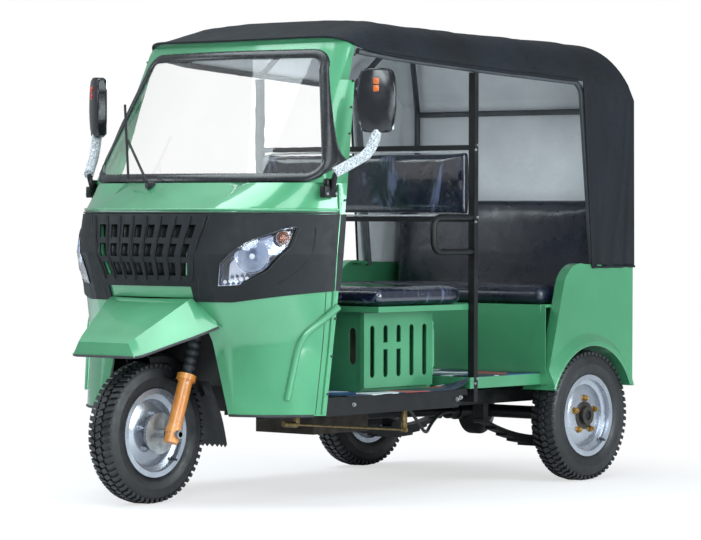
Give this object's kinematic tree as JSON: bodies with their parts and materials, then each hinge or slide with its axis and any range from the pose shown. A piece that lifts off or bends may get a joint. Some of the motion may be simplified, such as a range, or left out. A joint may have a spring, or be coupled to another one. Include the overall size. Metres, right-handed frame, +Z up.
{
  "type": "auto rickshaw",
  "caption": "Three-wheeled passenger auto rickshaw with a sheet-steel cab front, open sides, a fabric canopy on hoops, a steered front wheel and a rear axle on leaf springs.",
  "frame": {"origin": "on the ground under the middle of the overall box", "axes": "+X towards the vehicle's left, +Y towards its rear, +Z up"},
  "size_m": [1.5964, 2.5537, 1.842],
  "materials": {
    "body_paint": "metallic green enamel",
    "black_paint": "semi-gloss black enamel",
    "dark_plastic": "grained charcoal",
    "lamp_plastic": "clear cover over a reflector",
    "red_plastic": "lamp lens",
    "window_glass": "laminated",
    "black_rubber": "matt",
    "seat_vinyl": "navy vinyl",
    "canopy_fabric": "coated canvas",
    "steel_tube": "zinc-plated tube",
    "orange_paint": "satin enamel",
    "tyre_rubber": "matt",
    "rim_silver": "silver enamel",
    "bare_iron": "rough casting"
  },
  "bodies": {
    "cab": {"front_cowl": "body_paint", "windscreen_frame": "body_paint", "windscreen": "window_glass", "windscreen_seal": "black_rubber", "front_fascia": "dark_plastic", "headlamps": "lamp_plastic", "nose_fender": "body_paint", "wheel_house": "black_paint", "front_floor": "black_paint", "side_skirts": "black_paint", "rear_floor": "body_paint", "cab_frame": "black_paint", "grab_handles": "black_paint", "engine_box": "body_paint", "door_hinge": "black_paint", "seat_tray": "body_paint", "driver_cushion": "seat_vinyl", "driver_backrest": "seat_vinyl", "dashboard": "dark_plastic", "rear_quarter_left": "body_paint", "rear_quarter_right": "body_paint", "rear_panel": "body_paint", "rear_bumper": "black_paint", "tail_lamps": "red_plastic", "bench_base": "body_paint", "bench_cushion": "seat_vinyl", "bench_backrest": "seat_vinyl", "canopy_roof": "canopy_fabric", "canopy_rear": "canopy_fabric", "roof_frame": "steel_tube", "rear_uprights": "steel_tube", "chassis_frame": "black_paint", "engine": "bare_iron", "rear_axle": "black_paint", "propeller_shaft": "black_paint", "leaf_springs": "black_paint", "exhaust": "black_paint", "mirror_left": "dark_plastic", "mirror_right": "dark_plastic", "wiper": "dark_plastic"},
    "fork": {"fork_lowers": "orange_paint", "fork_gaiters": "black_rubber", "fork_tubes": "steel_tube", "fork_crown": "black_paint", "handlebar": "black_paint", "front_mudguard": "black_paint", "mud_flap": "black_rubber", "front_axle": "steel_tube"},
    "front_wheel": {"front_tyre": "tyre_rubber", "front_rim": "rim_silver", "front_hub": "bare_iron"},
    "rear_wheel_left": {"rear_left_tyre": "tyre_rubber", "rear_left_rim": "rim_silver", "rear_left_hub": "bare_iron"},
    "rear_wheel_right": {"rear_right_tyre": "tyre_rubber", "rear_right_rim": "rim_silver", "rear_right_hub": "bare_iron"},
    "access_door": {"engine_door": "body_paint"}
  },
  "joints": [
    {"name": "steering", "type": "hinge", "parent": "cab", "child": "fork", "pos_m": [0, -0.96721, 0.25161], "axis": [0, 0.342, 0.9397], "range_deg": [-35, 35]},
    {"name": "front_wheel_spin", "type": "hinge", "parent": "fork", "child": "front_wheel", "pos_m": [0, -1.0095, 0.267], "axis": [1, 0, 0], "continuous": true},
    {"name": "rear_left_spin", "type": "hinge", "parent": "cab", "child": "rear_wheel_left", "pos_m": [0.58, 0.9505, 0.267], "axis": [1, 0, 0], "continuous": true},
    {"name": "rear_right_spin", "type": "hinge", "parent": "cab", "child": "rear_wheel_right", "pos_m": [-0.58, 0.9505, 0.267], "axis": [1, 0, 0], "continuous": true},
    {"name": "door_swing", "type": "hinge", "parent": "cab", "child": "access_door", "pos_m": [0.446, 0.1465, 0.56], "axis": [0, 0, 1], "range_deg": [0, 90]}
  ]
}
